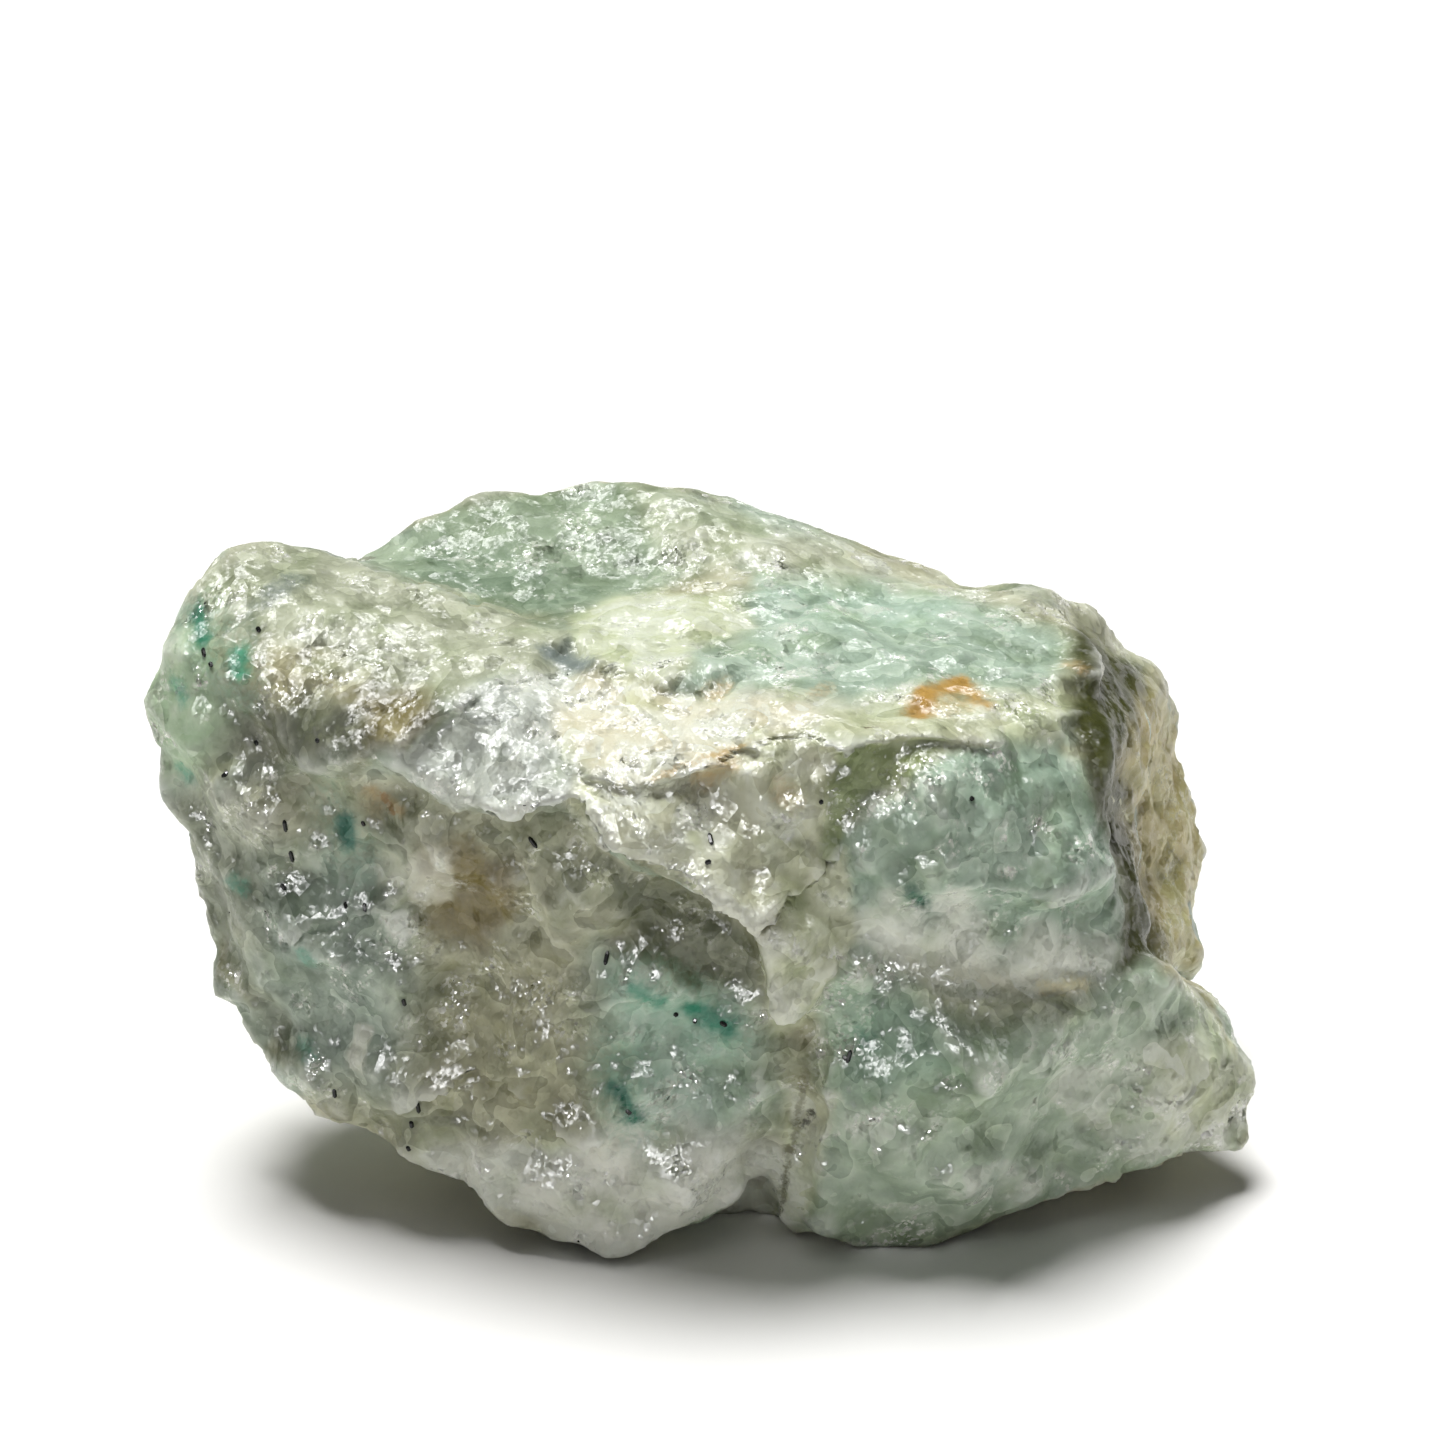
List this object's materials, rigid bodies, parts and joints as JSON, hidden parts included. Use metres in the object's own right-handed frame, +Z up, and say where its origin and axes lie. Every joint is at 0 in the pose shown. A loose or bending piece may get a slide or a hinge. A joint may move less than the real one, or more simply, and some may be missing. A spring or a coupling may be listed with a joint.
{
  "type": "rough aquamarine stone",
  "caption": "Rough pale green lump of aquamarine with a broken, granular surface, ledges and creases, resting on a small flat spot.",
  "frame": {"origin": "on the surface the stone rests on, under the middle of the stone", "axes": "+X along the stone's longest extent, +Z up, -Y the front"},
  "size_m": [0.0732, 0.044, 0.0417],
  "materials": {
    "stone": "rough broken crystal with a soft glassy glint, pale grey-green with cream and green patches"
  },
  "bodies": {
    "root": {"aquamarine": "stone"}
  },
  "joints": []
}
